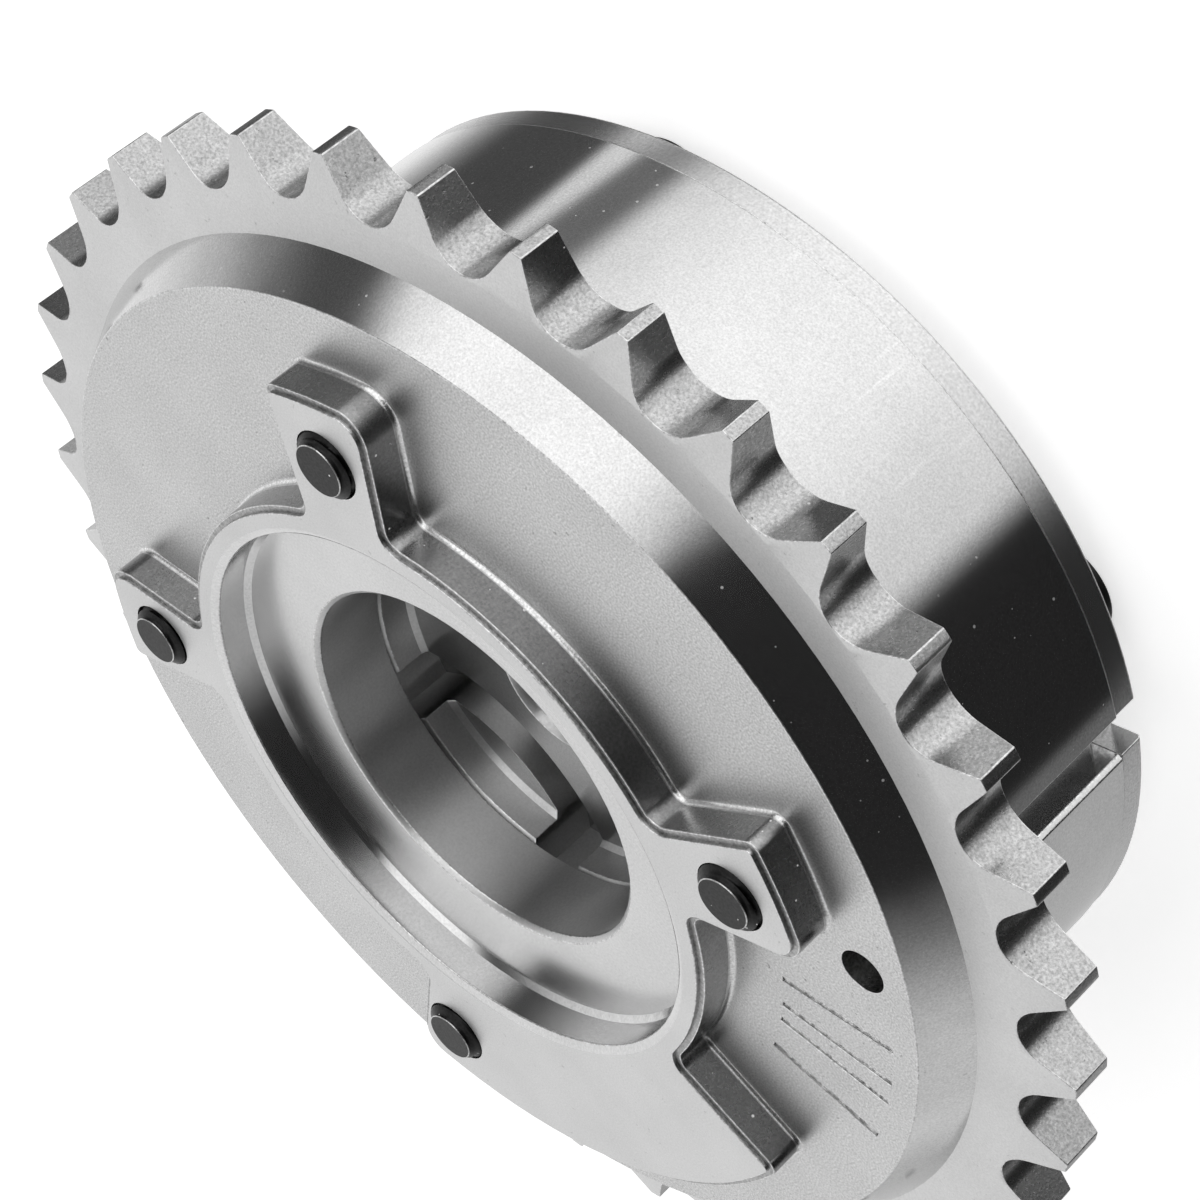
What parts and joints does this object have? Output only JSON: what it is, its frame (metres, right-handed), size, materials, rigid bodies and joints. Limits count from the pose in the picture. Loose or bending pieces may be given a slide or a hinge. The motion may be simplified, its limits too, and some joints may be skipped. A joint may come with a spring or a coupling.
{
  "type": "cam phaser",
  "caption": "Hydraulic vane cam phaser: a toothed chain sprocket bolted to a round vane housing, with a star-shaped hub and a rotor inside that turns through a small angle.",
  "frame": {"origin": "on the camshaft axis, level with the faces of the bolt heads that it stands on", "axes": "+Z along the camshaft axis from the end plate towards the camshaft side; +X through the centre of a tooth"},
  "size_m": [0.0942, 0.0942, 0.0337],
  "materials": {
    "sintered_steel": "satin sintered steel with machined faces",
    "turned_steel": "fine turned steel",
    "rotor_steel": "oily machined sintered steel",
    "hardened_steel": "ground hardened steel",
    "spring_steel": "spring steel",
    "black_oxide_steel": "black oxide steel, lightly oiled",
    "seal_plastic": "moulded seal plastic"
  },
  "bodies": {
    "housing_body": {"sprocket": "sintered_steel", "housing": "turned_steel", "cover_plate": "turned_steel", "lock_pin_bush": "hardened_steel", "cover_bolt_1": "black_oxide_steel", "lobe_seal_1": "seal_plastic", "lobe_seal_spring_1": "spring_steel", "cover_bolt_2": "black_oxide_steel", "lobe_seal_2": "seal_plastic", "lobe_seal_spring_2": "spring_steel", "cover_bolt_3": "black_oxide_steel", "lobe_seal_3": "seal_plastic", "lobe_seal_spring_3": "spring_steel", "cover_bolt_4": "black_oxide_steel", "lobe_seal_4": "seal_plastic", "lobe_seal_spring_4": "spring_steel"},
    "rotor_body": {"rotor": "rotor_steel", "lock_pin_retainer": "hardened_steel", "lock_pin_spring": "spring_steel", "vane_seal_1": "seal_plastic", "vane_seal_spring_1": "spring_steel", "vane_seal_2": "seal_plastic", "vane_seal_spring_2": "spring_steel", "vane_seal_3": "seal_plastic", "vane_seal_spring_3": "spring_steel", "vane_seal_4": "seal_plastic", "vane_seal_spring_4": "spring_steel"},
    "lock_pin_body": {"lock_pin": "hardened_steel"}
  },
  "joints": [
    {"name": "rotor_turn", "type": "hinge", "parent": "housing_body", "child": "rotor_body", "pos_m": [0, 0, 0.0138], "axis": [0, 0, 1], "range_deg": [-14, 14]},
    {"name": "lock_pin_slide", "type": "slide", "parent": "rotor_body", "child": "lock_pin_body", "axis": [0, 0, -1], "range_m": [0, 0.003], "stiffness_N_per_m": 1000, "springref_m": -0.003, "deforming": ["lock_pin_spring"]}
  ]
}
